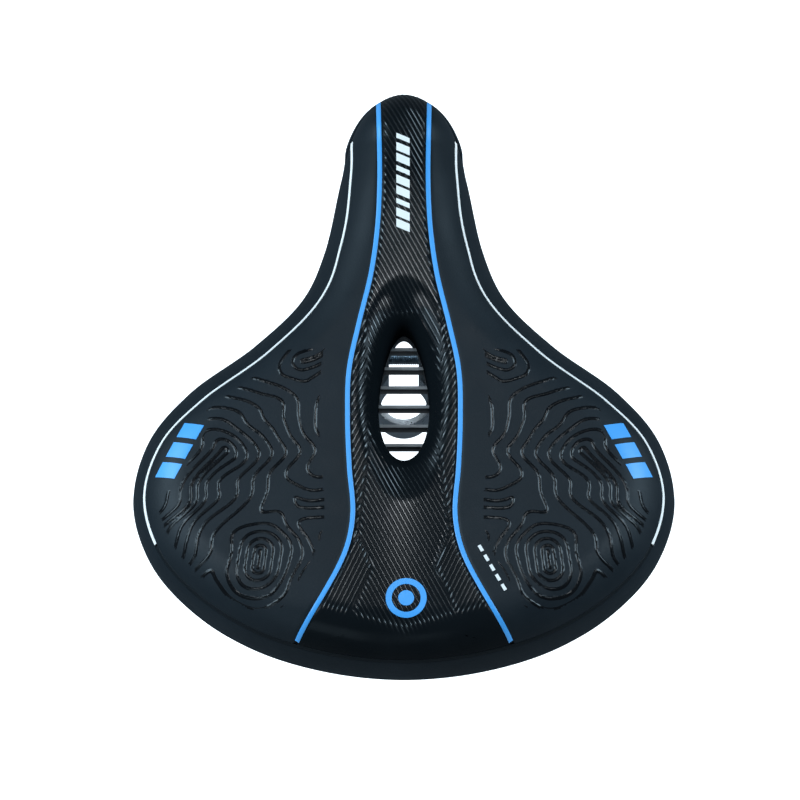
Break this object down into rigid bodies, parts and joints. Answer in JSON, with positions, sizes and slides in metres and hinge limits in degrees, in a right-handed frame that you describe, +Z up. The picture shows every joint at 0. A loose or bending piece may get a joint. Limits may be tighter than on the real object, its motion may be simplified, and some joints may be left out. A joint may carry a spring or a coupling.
{
  "type": "bicycle saddle",
  "caption": "Wide sprung comfort bicycle saddle with a ridged centre panel, relief slot, gel wings, coil springs and a seatpost clamp.",
  "frame": {"origin": "on the axis of the seatpost bore, at the lower face of the clamp band", "axes": "+Y towards the nose, +X towards the rider's right, +Z up along the seatpost"},
  "size_m": [0.2476, 0.282, 0.1058],
  "materials": {
    "cover": "matte embossed synthetic leather",
    "ridged_cover": "semi-gloss ridged synthetic leather",
    "blue_print": "satin",
    "white_print": "satin",
    "seam": "matte",
    "foam": "open-cell foam",
    "gel": "translucent gel",
    "shell": "moulded",
    "rail_steel": "bright plated",
    "black_steel": "black coated",
    "zinc_steel": "zinc plated"
  },
  "bodies": {
    "clamp": {"clamp_band": "zinc_steel", "clamp_bolt": "zinc_steel", "clamp_nut_right": "zinc_steel", "clamp_nut_left": "zinc_steel", "clamp_washer_right": "zinc_steel", "clamp_washer_left": "zinc_steel"},
    "guides": {"inner_rail_guide_right": "zinc_steel", "inner_rail_guide_left": "zinc_steel", "outer_rail_guide_right": "zinc_steel", "outer_rail_guide_left": "zinc_steel"},
    "rails": {"rail_frame": "rail_steel", "spring_bridge": "black_steel", "rail_clamp_plate": "black_steel", "bridge_bolt_right": "zinc_steel", "bridge_bolt_left": "zinc_steel", "bridge_nut_right": "zinc_steel", "bridge_nut_left": "zinc_steel", "coil_spring_right": "rail_steel", "coil_spring_left": "rail_steel", "lower_spring_cup_right": "black_steel", "lower_spring_cup_left": "black_steel", "lower_spring_bolt_right": "zinc_steel", "lower_spring_bolt_left": "zinc_steel", "lower_spring_nut_right": "zinc_steel", "lower_spring_nut_left": "zinc_steel"},
    "seat": {"side_skirt": "cover", "centre_panel": "ridged_cover", "wing_panel_right": "cover", "wing_panel_left": "cover", "blue_stripe_right": "blue_print", "blue_stripe_left": "blue_print", "white_stripe_right": "white_print", "white_stripe_left": "white_print", "nose_seam_bead": "seam", "rear_seam_bead": "seam", "foam_pad": "foam", "gel_pad_right": "gel", "gel_pad_left": "gel", "base_shell": "shell", "nose_clip": "zinc_steel", "front_clip_screw": "zinc_steel", "rear_clip_screw": "zinc_steel", "upper_spring_cup_right": "black_steel", "upper_spring_cup_left": "black_steel", "upper_spring_screw_right": "zinc_steel", "upper_spring_screw_left": "zinc_steel"}
  },
  "joints": [
    {"name": "tilt", "type": "hinge", "parent": "clamp", "child": "guides", "pos_m": [0, 0.023, 0.013], "axis": [1, 0, 0], "range_deg": [-15, 15]},
    {"name": "fore_aft", "type": "slide", "parent": "guides", "child": "rails", "axis": [0, 1, 0], "range_m": [-0.012, 0.012]},
    {"name": "suspension", "type": "hinge", "parent": "rails", "child": "seat", "pos_m": [0, 0.10808, 0.057], "axis": [1, 0, 0], "range_deg": [0, 5], "stiffness_Nm_per_rad": 1600, "springref_deg": -0.69, "deforming": ["coil_spring_right", "coil_spring_left"]}
  ]
}
